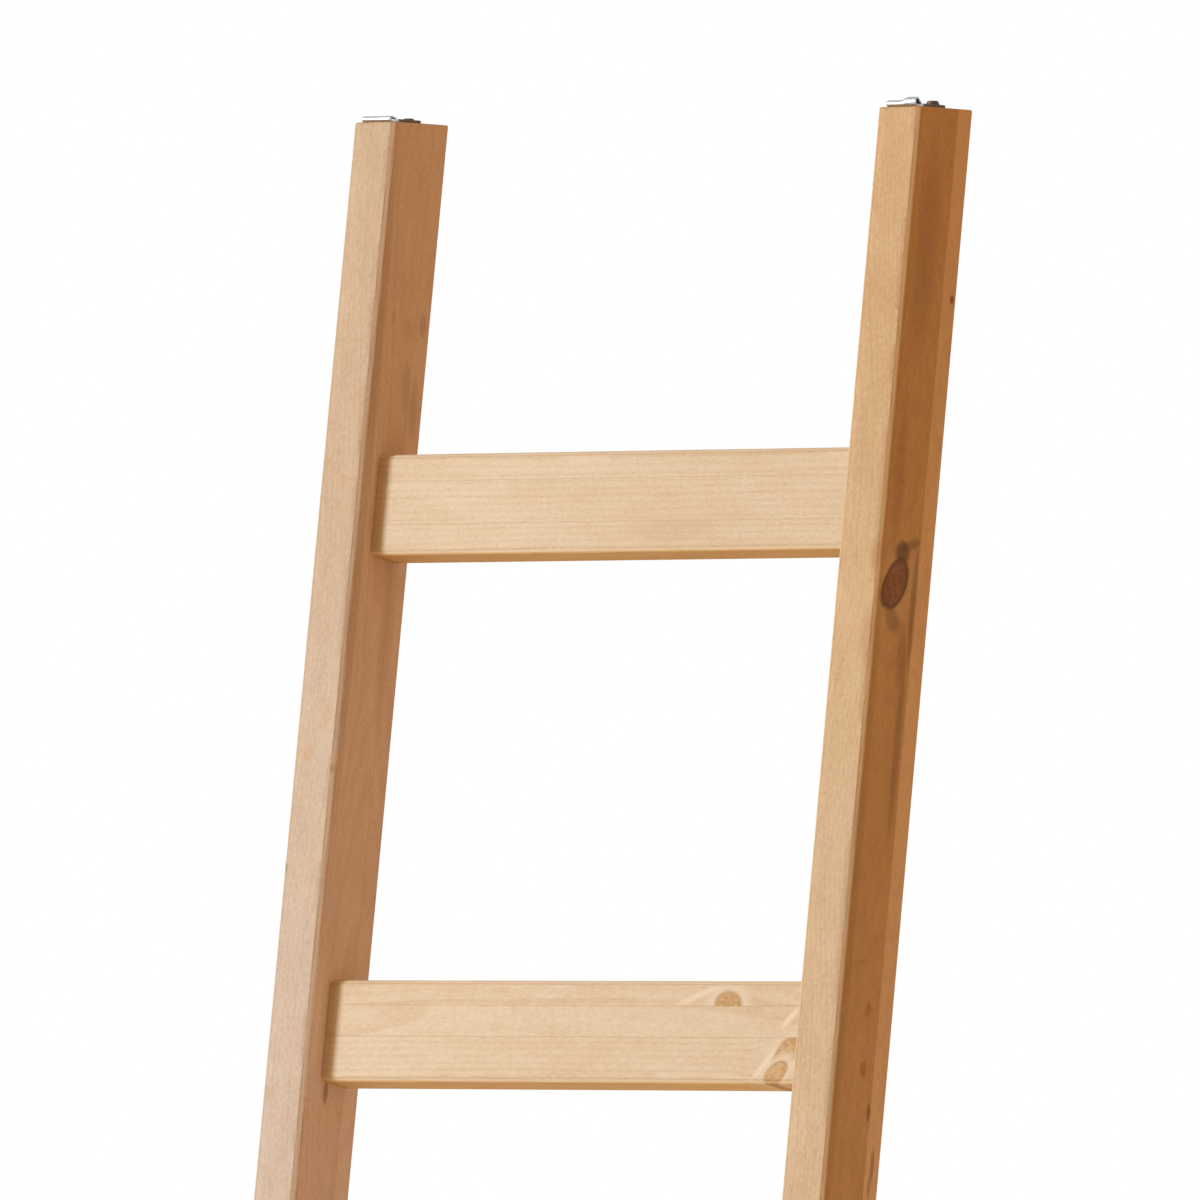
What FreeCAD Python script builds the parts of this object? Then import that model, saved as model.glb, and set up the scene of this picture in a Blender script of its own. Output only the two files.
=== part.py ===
import FreeCAD, Part
import math
import os

# A leaning quilt rack: two rails with level-cut ends, flat rungs doweled between them, a
# bent-steel hanger plate on the top of each rail and a rubber pad under each foot.
#
# Frame: +Z up, the floor at Z = 0. +X runs along the rungs to the right, with X = 0 half
# way between the rails. -Y is the front, and the top leans back towards +Y. Y = 0 is the
# middle of the rack's depth. All lengths are in millimetres.

V = FreeCAD.Vector

# ---- driving dimensions ----------------------------------------------------------------

RAIL_TOP = 1650.0             # floor to the level-cut top of the rails
LEAN = math.radians(9.8)      # how far the rails lean back from upright
CLEAR_WIDTH = 385.0           # between the rails
RAIL_WIDTH = 34.0             # along X
RAIL_DEPTH = 70.0             # front face to back face
RAIL_EDGE = 3.0               # radius of the rails' long edges
RAIL_END_EDGE = 1.5           # radius around the rails' cut ends

RUNG_COUNT = 4                # evenly spaced between the top and the lowest one
RUNG_BELOW_TOP = 228.5        # top rung's upper face to the rail's top, along its front
RUNG_ABOVE_FLOOR = 284.0      # floor to the lowest rung's lower face, along the same
RUNG_HEIGHT = 70.0            # along the rail
RUNG_THICKNESS = 34.0
RUNG_SETBACK = 20.0           # rail's front face to the rung's front face
RUNG_EDGE = 3.0               # radius of the rungs' long edges

DOWEL_DIAMETER = 10.0
DOWEL_LENGTH = 50.0
DOWEL_IN_RAIL = 20.0          # the rest of its length is in the rung
DOWEL_SPACING = 32.0          # between the two dowels of one rung end
DOWEL_CHAMFER = 1.0
GLUE_SPACE = 1.0              # left beyond each end of a dowel

SHEET = 1.3                   # steel of the hanger plates
PLATE_WIDTH = 23.0
PLATE_LENGTH = 42
PLATE_FROM_FRONT = 2.5        # rail's front edge to the plate
PLATE_CORNER = 4.0            # radius of the plate's rear corners
LOOP_GAP = 1.6                # height inside the loop of the folded leaf
LEAF_LENGTH = 8.5             # folded leaf, from the fold's front
LIP_LENGTH = 5.0              # end of the leaf, bent down to close the loop
LIP_DROP = math.radians(14)

SCREW_DIAMETER = 4.0
SCREW_LENGTH = 25.0
SCREW_TIP = 5.0               # pointed end
SCREW_HEAD_DIAMETER = 8.0
SCREW_HEAD_HEIGHT = 2.4
SCREW_EDGE = 11              # plate's rear edge to the screws
SCREW_SPACING = 13.0          # between the two screws, side by side
RECESS_WIDTH = 1.2            # cross recess in the head
RECESS_LENGTH = 4.6
RECESS_DEPTH = 1.3

PAD_THICKNESS = 3.0
PAD_INSET = 3.0               # foot's outline to the pad's outline
PAD_CORNER = 4.0
NAIL_DIAMETER = 2.0
NAIL_LENGTH = 18.0
NAIL_TIP = 3.0
NAIL_HEAD_DIAMETER = 6.0
NAIL_HEAD_HEIGHT = 1.0
NAIL_RECESS = 1.0             # floor to the nail head's face
NAIL_INSET = 16.0             # pad's front or back edge to its nail

# ---- sizes that follow from them -------------------------------------------------------

SLOPE = math.tan(LEAN)
LEVEL_DEPTH = RAIL_DEPTH / math.cos(LEAN)     # depth of a rail's level-cut end
TOP_RUNG_R = RAIL_TOP / math.cos(LEAN) - RUNG_BELOW_TOP - RUNG_HEIGHT / 2
LOWEST_RUNG_R = RUNG_ABOVE_FLOOR + RUNG_HEIGHT / 2
RUNG_PITCH = (TOP_RUNG_R - LOWEST_RUNG_R) / (RUNG_COUNT - 1)
RUNG_MID_N = RUNG_SETBACK + RUNG_THICKNESS / 2
INNER_X = CLEAR_WIDTH / 2
RAIL_MID_X = INNER_X + RAIL_WIDTH / 2
SIDES = {"left": -1, "right": 1}


def level_corner_centre(n, z):
    """Y of the point at height z that lies n behind the rails' front plane."""
    return (n + z * math.sin(LEAN)) / math.cos(LEAN)


# The rounded corners that reach furthest forward (at the foot) and back (at the top)
# set the middle of the depth.
FRONT_REACH = level_corner_centre(RAIL_END_EDGE, PAD_THICKNESS + RAIL_END_EDGE) - RAIL_END_EDGE
BACK_REACH = level_corner_centre(RAIL_DEPTH - RAIL_END_EDGE, RAIL_TOP - RAIL_END_EDGE) + RAIL_END_EDGE
FRONT_Y = -(FRONT_REACH + BACK_REACH) / 2     # the front plane's Y at the floor


def front_y(z):
    """Y of the rails' front plane at height z."""
    return FRONT_Y + z * SLOPE


def on_rack(x, n, r):
    """Point at x, n behind the rails' front plane, r up along it from the floor."""
    y = FRONT_Y + n * math.cos(LEAN) + r * math.sin(LEAN)
    z = r * math.cos(LEAN) - n * math.sin(LEAN)
    return V(x, y, z)


def lean(shape, x, n, r):
    """Turn a shape from upright to the rails' slope and put its origin at x, n, r."""
    leaning = FreeCAD.Rotation(V(1, 0, 0), -math.degrees(LEAN))
    shape.Placement = FreeCAD.Placement(on_rack(x, n, r), leaning).multiply(shape.Placement)
    return shape


# ---- shared shapes ---------------------------------------------------------------------

def prism_x(outline, x_low, length):
    """Closed (y, z) outline carried along X."""
    points = [V(x_low, y, z) for y, z in outline]
    face = Part.Face(Part.makePolygon(points + points[:1]))
    return face.extrude(V(length, 0, 0))


def edges_along(shape, direction):
    """Straight edges parallel to a direction."""
    found = []
    for edge in shape.Edges:
        if not isinstance(edge.Curve, Part.Line):
            continue
        if edge.Curve.Direction.cross(direction).Length < 1e-6:
            found.append(edge)
    return found


def edges_at_height(shape, z):
    """Edges that lie wholly in the plane at height z."""
    def level(edge):
        return all(abs(edge.valueAt(t).z - z) < 1e-6
                   for t in (edge.FirstParameter, sum(edge.ParameterRange) / 2, edge.LastParameter))
    return [edge for edge in shape.Edges if level(edge)]


def turned(outline, origin, up):
    """Closed (radius, height) outline turned about the axis through origin along up."""
    points = [V(radius, 0, height) for radius, height in outline]
    face = Part.Face(Part.makePolygon(points + points[:1]))
    solid = face.revolve(V(0, 0, 0), V(0, 0, 1), 360)
    solid.Placement = FreeCAD.Placement(origin, FreeCAD.Rotation(V(0, 0, 1), up))
    return solid


def rounded_slab(width, depth, height, radius):
    """Slab centred on Z with round vertical corners, standing on Z = 0."""
    slab = Part.makeBox(width, depth, height, V(-width / 2, -depth / 2, 0))
    return slab.makeFillet(radius, edges_along(slab, V(0, 0, 1)))


# ---- wooden pieces ---------------------------------------------------------------------

def rung_middles():
    """Height along the rail of each rung's middle, from the top rung down."""
    return [TOP_RUNG_R - index * RUNG_PITCH for index in range(RUNG_COUNT)]


def dowel_offsets():
    return (-DOWEL_SPACING / 2, DOWEL_SPACING / 2)


def dowel_hole(side, rung_r, offset):
    """Hole for one dowel, through the joint from the rail into the rung."""
    rail_depth = DOWEL_IN_RAIL + GLUE_SPACE
    depth = DOWEL_LENGTH + 2 * GLUE_SPACE
    x_start = INNER_X + rail_depth - depth
    if side < 0:
        x_start = -INNER_X - rail_depth
    hole = Part.makeCylinder(DOWEL_DIAMETER / 2, depth, V(0, 0, 0), V(1, 0, 0))
    return lean(hole, x_start, RUNG_MID_N, rung_r + offset)


def make_rail(side):
    """Rail with level-cut ends, rounded edges, dowel holes and pilot holes."""
    x_low = side * RAIL_MID_X - RAIL_WIDTH / 2
    foot = PAD_THICKNESS
    outline = [(front_y(foot), foot), (front_y(foot) + LEVEL_DEPTH, foot),
               (front_y(RAIL_TOP) + LEVEL_DEPTH, RAIL_TOP), (front_y(RAIL_TOP), RAIL_TOP)]
    rail = prism_x(outline, x_low, RAIL_WIDTH)
    rail = rail.makeFillet(RAIL_EDGE, edges_along(rail, V(0, math.sin(LEAN), math.cos(LEAN))))
    for height in (foot, RAIL_TOP):
        rail = rail.makeFillet(RAIL_END_EDGE, edges_at_height(rail, height))
    for rung_r in rung_middles():
        for offset in dowel_offsets():
            rail = rail.cut(dowel_hole(side, rung_r, offset))
    for origin in screw_origins(side):
        rail = rail.cut(make_screw(origin))
    for origin in nail_origins(side):
        rail = rail.cut(make_nail(origin))
    return rail


def make_rung(rung_r):
    """Flat board on edge between the rails, with dowel holes in both ends."""
    corner = V(-INNER_X, -RUNG_THICKNESS / 2, -RUNG_HEIGHT / 2)
    rung = Part.makeBox(CLEAR_WIDTH, RUNG_THICKNESS, RUNG_HEIGHT, corner)
    rung = rung.makeFillet(RUNG_EDGE, edges_along(rung, V(1, 0, 0)))
    rung = lean(rung, 0, RUNG_MID_N, rung_r)
    for side in SIDES.values():
        for offset in dowel_offsets():
            rung = rung.cut(dowel_hole(side, rung_r, offset))
    return rung


def make_dowels(side, rung_r):
    """The pair of dowels in one end of a rung."""
    radius = DOWEL_DIAMETER / 2
    outline = [(0, 0), (radius - DOWEL_CHAMFER, 0), (radius, DOWEL_CHAMFER),
               (radius, DOWEL_LENGTH - DOWEL_CHAMFER), (radius - DOWEL_CHAMFER, DOWEL_LENGTH),
               (0, DOWEL_LENGTH)]
    x_start = INNER_X + DOWEL_IN_RAIL - DOWEL_LENGTH
    if side < 0:
        x_start = -INNER_X - DOWEL_IN_RAIL
    dowels = [lean(turned(outline, V(0, 0, 0), V(1, 0, 0)), x_start, RUNG_MID_N, rung_r + offset)
              for offset in dowel_offsets()]
    return Part.makeCompound(dowels)


# ---- hanger plates and their screws ----------------------------------------------------

def plate_front():
    """Y of the plate's front, where its fold is."""
    return front_y(RAIL_TOP) + PLATE_FROM_FRONT


def screw_origins(side):
    """Where each screw's head sits on its plate."""
    y = plate_front() + PLATE_LENGTH - SCREW_EDGE
    return [V(side * RAIL_MID_X + x, y, RAIL_TOP + SHEET) for x in (-SCREW_SPACING / 2, SCREW_SPACING / 2)]


def make_screw(origin):
    """Pan-head wood screw, pointing down, its head's underside at origin."""
    shank = SCREW_DIAMETER / 2
    head = SCREW_HEAD_DIAMETER / 2
    outline = [(0, -SCREW_LENGTH), (shank, SCREW_TIP - SCREW_LENGTH), (shank, 0), (head, 0),
               (head, SCREW_HEAD_HEIGHT * 0.5), (head * 0.88, SCREW_HEAD_HEIGHT * 0.8),
               (head * 0.6, SCREW_HEAD_HEIGHT), (0, SCREW_HEAD_HEIGHT)]
    screw = turned(outline, origin, V(0, 0, 1))
    floor = origin + V(0, 0, SCREW_HEAD_HEIGHT - RECESS_DEPTH)
    for width, depth in ((RECESS_WIDTH, RECESS_LENGTH), (RECESS_LENGTH, RECESS_WIDTH)):
        corner = floor - V(width / 2, depth / 2, 0)
        screw = screw.cut(Part.makeBox(width, depth, RECESS_DEPTH + 1, corner))
    return screw


def loop_outline():
    """Wire of the folded plate's side view: y back from the fold, z up from the rail."""
    inner = LOOP_GAP / 2
    outer = inner + SHEET
    top = 2 * outer
    leaf_end = LEAF_LENGTH - LIP_LENGTH
    along = (math.cos(LIP_DROP), -math.sin(LIP_DROP))
    across = (math.sin(LIP_DROP), math.cos(LIP_DROP))
    lip_low = (leaf_end + LIP_LENGTH * along[0], top - SHEET + LIP_LENGTH * along[1])
    lip_high = (lip_low[0] + SHEET * across[0], lip_low[1] + SHEET * across[1])
    bend_high = (leaf_end + SHEET * math.tan(LIP_DROP / 2), top)

    def line(a, b):
        return Part.makeLine(V(0, *a), V(0, *b))

    def half_turn(radius):
        return Part.Arc(V(0, outer, outer + radius), V(0, outer - radius, outer),
                        V(0, outer, outer - radius)).toShape()

    return Part.Wire([
        line((outer, 0), (PLATE_LENGTH, 0)),
        line((PLATE_LENGTH, 0), (PLATE_LENGTH, SHEET)),
        line((PLATE_LENGTH, SHEET), (outer, SHEET)),
        half_turn(inner),
        line((outer, top - SHEET), (leaf_end, top - SHEET)),
        line((leaf_end, top - SHEET), lip_low),
        line(lip_low, lip_high),
        line(lip_high, bend_high),
        line(bend_high, (outer, top)),
        half_turn(outer),
    ])


def make_hanger_plate(side):
    """Flat plate whose front is folded back over itself as a flattened loop."""
    plate = Part.Face(loop_outline()).extrude(V(PLATE_WIDTH, 0, 0))
    low_x = side * RAIL_MID_X - PLATE_WIDTH / 2
    plate.translate(V(low_x, plate_front(), RAIL_TOP))
    rear = plate_front() + PLATE_LENGTH
    rear_corners = [edge for edge in edges_along(plate, V(0, 0, 1)) if abs(edge.CenterOfMass.y - rear) < 1e-6]
    plate = plate.makeFillet(PLATE_CORNER, rear_corners)
    for origin in screw_origins(side):
        plate = plate.cut(make_screw(origin))
    return plate


# ---- foot pads and their nails ---------------------------------------------------------

def pad_centre_y():
    return front_y(PAD_THICKNESS) + LEVEL_DEPTH / 2


def pad_length():
    return LEVEL_DEPTH - 2 * PAD_INSET


def nail_origins(side):
    """Where each nail head's face is, above the floor."""
    reach = pad_length() / 2 - NAIL_INSET
    return [V(side * RAIL_MID_X, pad_centre_y() + y, NAIL_RECESS) for y in (-reach, reach)]


def make_nail(origin):
    """Flat-head nail, pointing up, its head's face at origin."""
    shank = NAIL_DIAMETER / 2
    head = NAIL_HEAD_DIAMETER / 2
    outline = [(0, 0), (head, 0), (head, NAIL_HEAD_HEIGHT), (shank, NAIL_HEAD_HEIGHT),
               (shank, NAIL_LENGTH - NAIL_TIP), (0, NAIL_LENGTH)]
    return turned(outline, origin, V(0, 0, 1))


def make_foot_pad(side):
    """Rubber pad under a foot, with a recess for each nail head."""
    pad = rounded_slab(RAIL_WIDTH - 2 * PAD_INSET, pad_length(), PAD_THICKNESS, PAD_CORNER)
    pad.translate(V(side * RAIL_MID_X, pad_centre_y(), 0))
    for origin in nail_origins(side):
        well = Part.makeCylinder(NAIL_HEAD_DIAMETER / 2, NAIL_RECESS, V(origin.x, origin.y, 0))
        pad = pad.cut(well).cut(make_nail(origin))
    return pad


# ---- build and export ------------------------------------------------------------------

def build_nodes():
    nodes = {}
    for name, side in SIDES.items():
        nodes[name + "_rail"] = make_rail(side)
        nodes[name + "_hanger_plate"] = make_hanger_plate(side)
        nodes[name + "_hanger_screws"] = Part.makeCompound([make_screw(o) for o in screw_origins(side)])
        nodes[name + "_foot_pad"] = make_foot_pad(side)
        nodes[name + "_foot_nails"] = Part.makeCompound([make_nail(o) for o in nail_origins(side)])
    for number, rung_r in enumerate(rung_middles(), start=1):
        nodes["rung_%d" % number] = make_rung(rung_r)
        for name, side in SIDES.items():
            nodes["rung_%d_%s_dowels" % (number, name)] = make_dowels(side, rung_r)
    return nodes


def main():
    os.makedirs("parts", exist_ok=True)
    for name, shape in build_nodes().items():
        shape.exportStep("parts/%s.step" % name)


main()
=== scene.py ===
import math
from dataclasses import dataclass

import bpy
from mathutils import Matrix, Vector, noise


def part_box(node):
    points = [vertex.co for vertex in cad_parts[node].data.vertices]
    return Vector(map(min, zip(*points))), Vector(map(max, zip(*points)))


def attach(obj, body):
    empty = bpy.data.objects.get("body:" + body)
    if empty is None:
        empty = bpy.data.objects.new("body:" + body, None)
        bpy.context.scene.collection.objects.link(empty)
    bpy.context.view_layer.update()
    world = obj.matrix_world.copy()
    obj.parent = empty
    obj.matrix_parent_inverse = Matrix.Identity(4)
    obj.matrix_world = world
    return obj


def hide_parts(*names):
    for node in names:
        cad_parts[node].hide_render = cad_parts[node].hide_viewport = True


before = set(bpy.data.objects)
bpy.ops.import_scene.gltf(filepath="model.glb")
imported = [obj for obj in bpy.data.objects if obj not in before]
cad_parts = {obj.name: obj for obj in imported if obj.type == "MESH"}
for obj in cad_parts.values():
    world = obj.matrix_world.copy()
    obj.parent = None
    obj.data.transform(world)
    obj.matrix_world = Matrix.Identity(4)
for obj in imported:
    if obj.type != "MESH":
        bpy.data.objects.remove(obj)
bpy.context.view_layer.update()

# ---- sizes, in millimetres unless a name says otherwise ---------------------------------

MM = 0.001
RAIL_WIDTH, RAIL_DEPTH = 34.0, 70.0
RUNG_THICKNESS, RUNG_HEIGHT = 34.0, 70.0
RUNG_SETBACK = 20.0              # from the rails' front faces to the rungs'
BOARD_EDGE = 3.0                 # radius of the long edges
EDGE_FLAT = 0.55                 # how far the planing flattens them, towards a chamfer
RAIL_END_EDGE, RUNG_END_EDGE = 1.5, 0.3
RAIL_STEP, RUNG_STEP = 8.0, 6.0  # from one ring of a board's mesh to the next
SHEET = 1.3                      # steel of the hanger plates
LOOP_GAP = 1.6
PLATE_CORNER = 4.0
LEAF_LENGTH, LIP_LENGTH, LIP_DROP = 8.5, 5.0, math.radians(14)
FLANGE_RISE = 1.0                # how much thicker the screwed leaf looks than its sheet
SCREW_LENGTH, NECK_LENGTH, POINT_LENGTH = 25.0, 4.0, 5.0
NECK_RADIUS, CORE_RADIUS = 1.95, 1.35
THREAD_DEPTH, THREAD_PITCH = 0.63, 1.8
HEAD_RADIUS, HEAD_HEIGHT = 4.0, 2.4
HEAD_FLANGE = 0.5                # how far the head's flange stands out
FLANGE_EDGE, FLANGE_SLOPE = 0.35, 0.45
DOME_SHARE = 0.38                # how much of the head's height is dome
RECESS_REACH, RECESS_DEPTH = 2.3, 1.25
RECESS_HALF, RECESS_FLARE = 0.62, 0.35           # half a slot's width, and more in the middle
LOOP_BENT, LOOP_OPEN = 2.0, 0.3  # how far the right loop stands up: its outer end, and all of it
LOOP_WAVE = 0.25                 # how uneven the left loop is
STEEL_SMOOTH = 40                # degrees: a steel edge sharper than this stays sharp
SCREW_SPACING, SCREW_EDGE = 13.0, 11.0
SCREWS_PROUD = {"left": (-0.1, -0.1), "right": (0.5, 1.4)}
SCREWS_TURN = {"left": (1.2, 2.1), "right": (0.5, 1.4)}          # radians


def middle(node):
    low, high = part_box(node)
    return (low + high) / 2


X = Vector((1, 0, 0))
ALONG = (middle("rung_1") - middle("rung_4")).normalized()      # up the rails
DEEP = ALONG.cross(X)                                           # from front to back
LEAN = math.atan2(ALONG.y, ALONG.z)
RAIL_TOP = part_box("left_rail")[1].z / MM


def board_place(origin):
    """Matrix whose axes are across, front to back and up the rails."""
    turn = Matrix((X, DEEP, ALONG)).transposed().to_4x4()
    return Matrix.Translation(origin) @ turn


def rail_place(side):
    """Its origin is the middle of the rail's top end."""
    low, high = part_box(side + "_rail")
    centre = (low + high) / 2
    return board_place(centre + ALONG * ((high.z - centre.z) / math.cos(LEAN)))


def rung_place(number):
    return board_place(middle("rung_%d" % number))


TOP_SKEW = RAIL_DEPTH / 2 * math.tan(LEAN)      # top of the front face below the rail's origin


def down(distance):
    """Local Z of a place on the rail so far down its front face from the top."""
    return -(distance + TOP_SKEW)


# ---- meshes ----------------------------------------------------------------------------

def add_piece(name, points, faces, place, smooth_angle=35):
    """Mesh object from points in millimetres in the frame of its place."""
    mesh = bpy.data.meshes.new(name)
    mesh.from_pydata([place @ (Vector(p) * MM) for p in points], [], faces)
    mesh.validate()
    mesh.polygons.foreach_set("use_smooth", [True] * len(mesh.polygons))
    mesh.set_sharp_from_angle(angle=math.radians(smooth_angle))
    piece = bpy.data.objects.new(name, mesh)
    bpy.context.scene.collection.objects.link(piece)
    return piece


def hand_over(piece, slot, material, *nodes):
    piece.data.materials.append(material)
    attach(piece, "root")
    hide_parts(*nodes)


def loft_faces(rows, columns, start=0):
    """Quads between closed rings of points, with both ends closed."""
    faces = []
    for row in range(rows - 1):
        for column in range(columns):
            after = (column + 1) % columns
            low, high = start + row * columns, start + (row + 1) * columns
            faces.append((low + column, low + after, high + after, high + column))
    faces.append(tuple(start + column for column in reversed(range(columns))))
    faces.append(tuple(start + (rows - 1) * columns + column for column in range(columns)))
    return faces


def smoothstep(low, high, value):
    t = min(1, max(0, (value - low) / (high - low)))
    return t * t * (3 - 2 * t)


# ---- boards' shapes --------------------------------------------------------------------

CORNER_STEPS, ACROSS_STEPS, DEEP_STEPS, END_STEPS = 6, 6, 12, 5
WAVE_HEIGHT, WAVE_ACROSS, WAVE_ALONG = 0.10, 60, 150             # left by the planer
WEAR_RANGE, WEAR_MEAN, WEAR_ACROSS, WEAR_ALONG = 0.16, 0.10, 9, 35


def rounded_ring(width, depth, radius=BOARD_EDGE):
    """Rounded rectangle round the origin, anticlockwise: (x, y, outward x, outward y)."""
    ring = []
    corners = ((1, 1, 0), (-1, 1, 90), (-1, -1, 180), (1, -1, 270))
    for index, (sx, sy, first) in enumerate(corners):
        cx, cy = sx * (width / 2 - radius), sy * (depth / 2 - radius)
        for step in range(CORNER_STEPS + 1):
            angle = math.radians(first + 90 * step / CORNER_STEPS)
            ux, uy = math.cos(angle), math.sin(angle)
            reach = abs(ux) + abs(uy)                   # 1 where the round edge meets the faces
            round_share = radius * (1 - EDGE_FLAT + EDGE_FLAT / reach)
            ring.append((cx + round_share * ux, cy + round_share * uy, ux, uy))
        nx, ny, _ = corners[(index + 1) % 4]
        steps = ACROSS_STEPS if index % 2 == 0 else DEEP_STEPS
        angle = math.radians(first + 90)
        ux, uy = math.cos(angle), math.sin(angle)
        ax, ay = ring[-1][:2]
        bx = nx * (width / 2 - radius) + radius * ux
        by = ny * (depth / 2 - radius) + radius * uy
        for step in range(1, steps):
            t = step / steps
            ring.append((ax + (bx - ax) * t, ay + (by - ay) * t, ux, uy))
    return ring


def end_rows(radius):
    """(distance from the end, inset) for a rounded end, from its cap inwards."""
    rows = []
    for step in range(END_STEPS + 1):
        angle = math.radians(90 * step / END_STEPS)
        rows.append((radius * (1 - math.sin(angle)), radius * (1 - math.cos(angle))))
    return rows[::-1]


def length_rows(low, high, step, radius, fine=(), settle=20):
    """(place along, inset, unevenness share) of a board's rings from low to high. Rings are
    closer in the fine stretches, and the share grows from 0 over the settle length."""
    ends = end_rows(radius)
    rows = [(low + gap, inset, 0) for gap, inset in ends]
    place = low + radius
    while True:
        close = any(a < place < b for a, b in fine)
        place += step / 3 if close else step
        if place > high - radius - step / 2:
            break
        ease = min(1, (place - low - radius) / settle, (high - radius - place) / settle)
        rows.append((place, 0, ease))
    rows += [(high - gap, inset, 0) for gap, inset in reversed(ends)]
    return rows


def unevenness(seed, across, deep, along, edge):
    """How far the surface stands off its nominal place: planing waves and worn edges."""
    place = Vector((across / WAVE_ACROSS + seed, deep / WAVE_ACROSS, along / WAVE_ALONG))
    waves = WAVE_HEIGHT * noise.noise(place)
    place = Vector((across / WEAR_ACROSS, deep / WEAR_ACROSS + seed, along / WEAR_ALONG))
    wear = WEAR_RANGE * noise.noise(place) - WEAR_MEAN
    return waves + edge * wear


def board_rings(seed, section, rows, dents=()):
    """Rings of (across, deep, along). A dent is (across, deep, along, depth, reach)."""
    ring = rounded_ring(*section)
    rings = []
    for along, inset, share in rows:
        points = []
        for x, y, ux, uy in ring:
            edge = min(1, max(0, 4 * abs(ux * uy) - 0.2)) * share
            off = unevenness(seed, x, y, along, edge) * share - inset
            for *centre, depth, reach in dents:
                gap = math.dist((x, y, along), centre)
                off -= depth * math.exp(-(gap / reach) ** 2)
            points.append((x + ux * off, y + uy * off, along))
        rings.append(points)
    return rings


def add_board(node, rings, lay, place):
    """Board from its rings. lay turns (across, deep, along) into the place's own axes."""
    points = [lay(*point) for ring in rings for point in ring]
    return add_piece(node + "_wood", points, loft_faces(len(rings), len(rings[0])), place)


# ---- materials: nodes written as arithmetic ----------------------------------------------

class Num:
    """A number that a material's nodes work out."""

    def __init__(self, graph, socket):
        self.graph, self.socket = graph, socket

    def op(self, operation, *values, clamp=False):
        node = self.graph.new("ShaderNodeMath", operation=operation, use_clamp=clamp)
        for socket, value in zip(node.inputs, (self,) + values):
            self.graph.feed(socket, value)
        return Num(self.graph, node.outputs[0])

    def __add__(self, other):
        return self.op("ADD", other)

    def __sub__(self, other):
        return self.op("SUBTRACT", other)

    def __mul__(self, other):
        return self.op("MULTIPLY", other)

    def __truediv__(self, other):
        return self.op("DIVIDE", other)

    def __neg__(self):
        return self * -1

    def __rsub__(self, other):
        return -self + other

    __radd__, __rmul__ = __add__, __mul__

    def squared(self):
        return self * self

    def root(self):
        return self.op("SQRT")

    def size(self):
        return self.op("ABSOLUTE")

    def clamped(self):
        return self.op("ADD", 0.0, clamp=True)

    def step(self, low, high, start=0.0, end=1.0):
        """Smooth change from start to end while this number goes from low to high."""
        node = self.graph.new("ShaderNodeMapRange", interpolation_type="SMOOTHSTEP")
        for socket, value in zip(node.inputs, (self, low, high, start, end)):
            self.graph.feed(socket, value)
        return Num(self.graph, node.outputs[0])

    def below(self, low, high):
        """1 below low, 0 above high."""
        return self.step(low, high, 1.0, 0.0)


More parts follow.
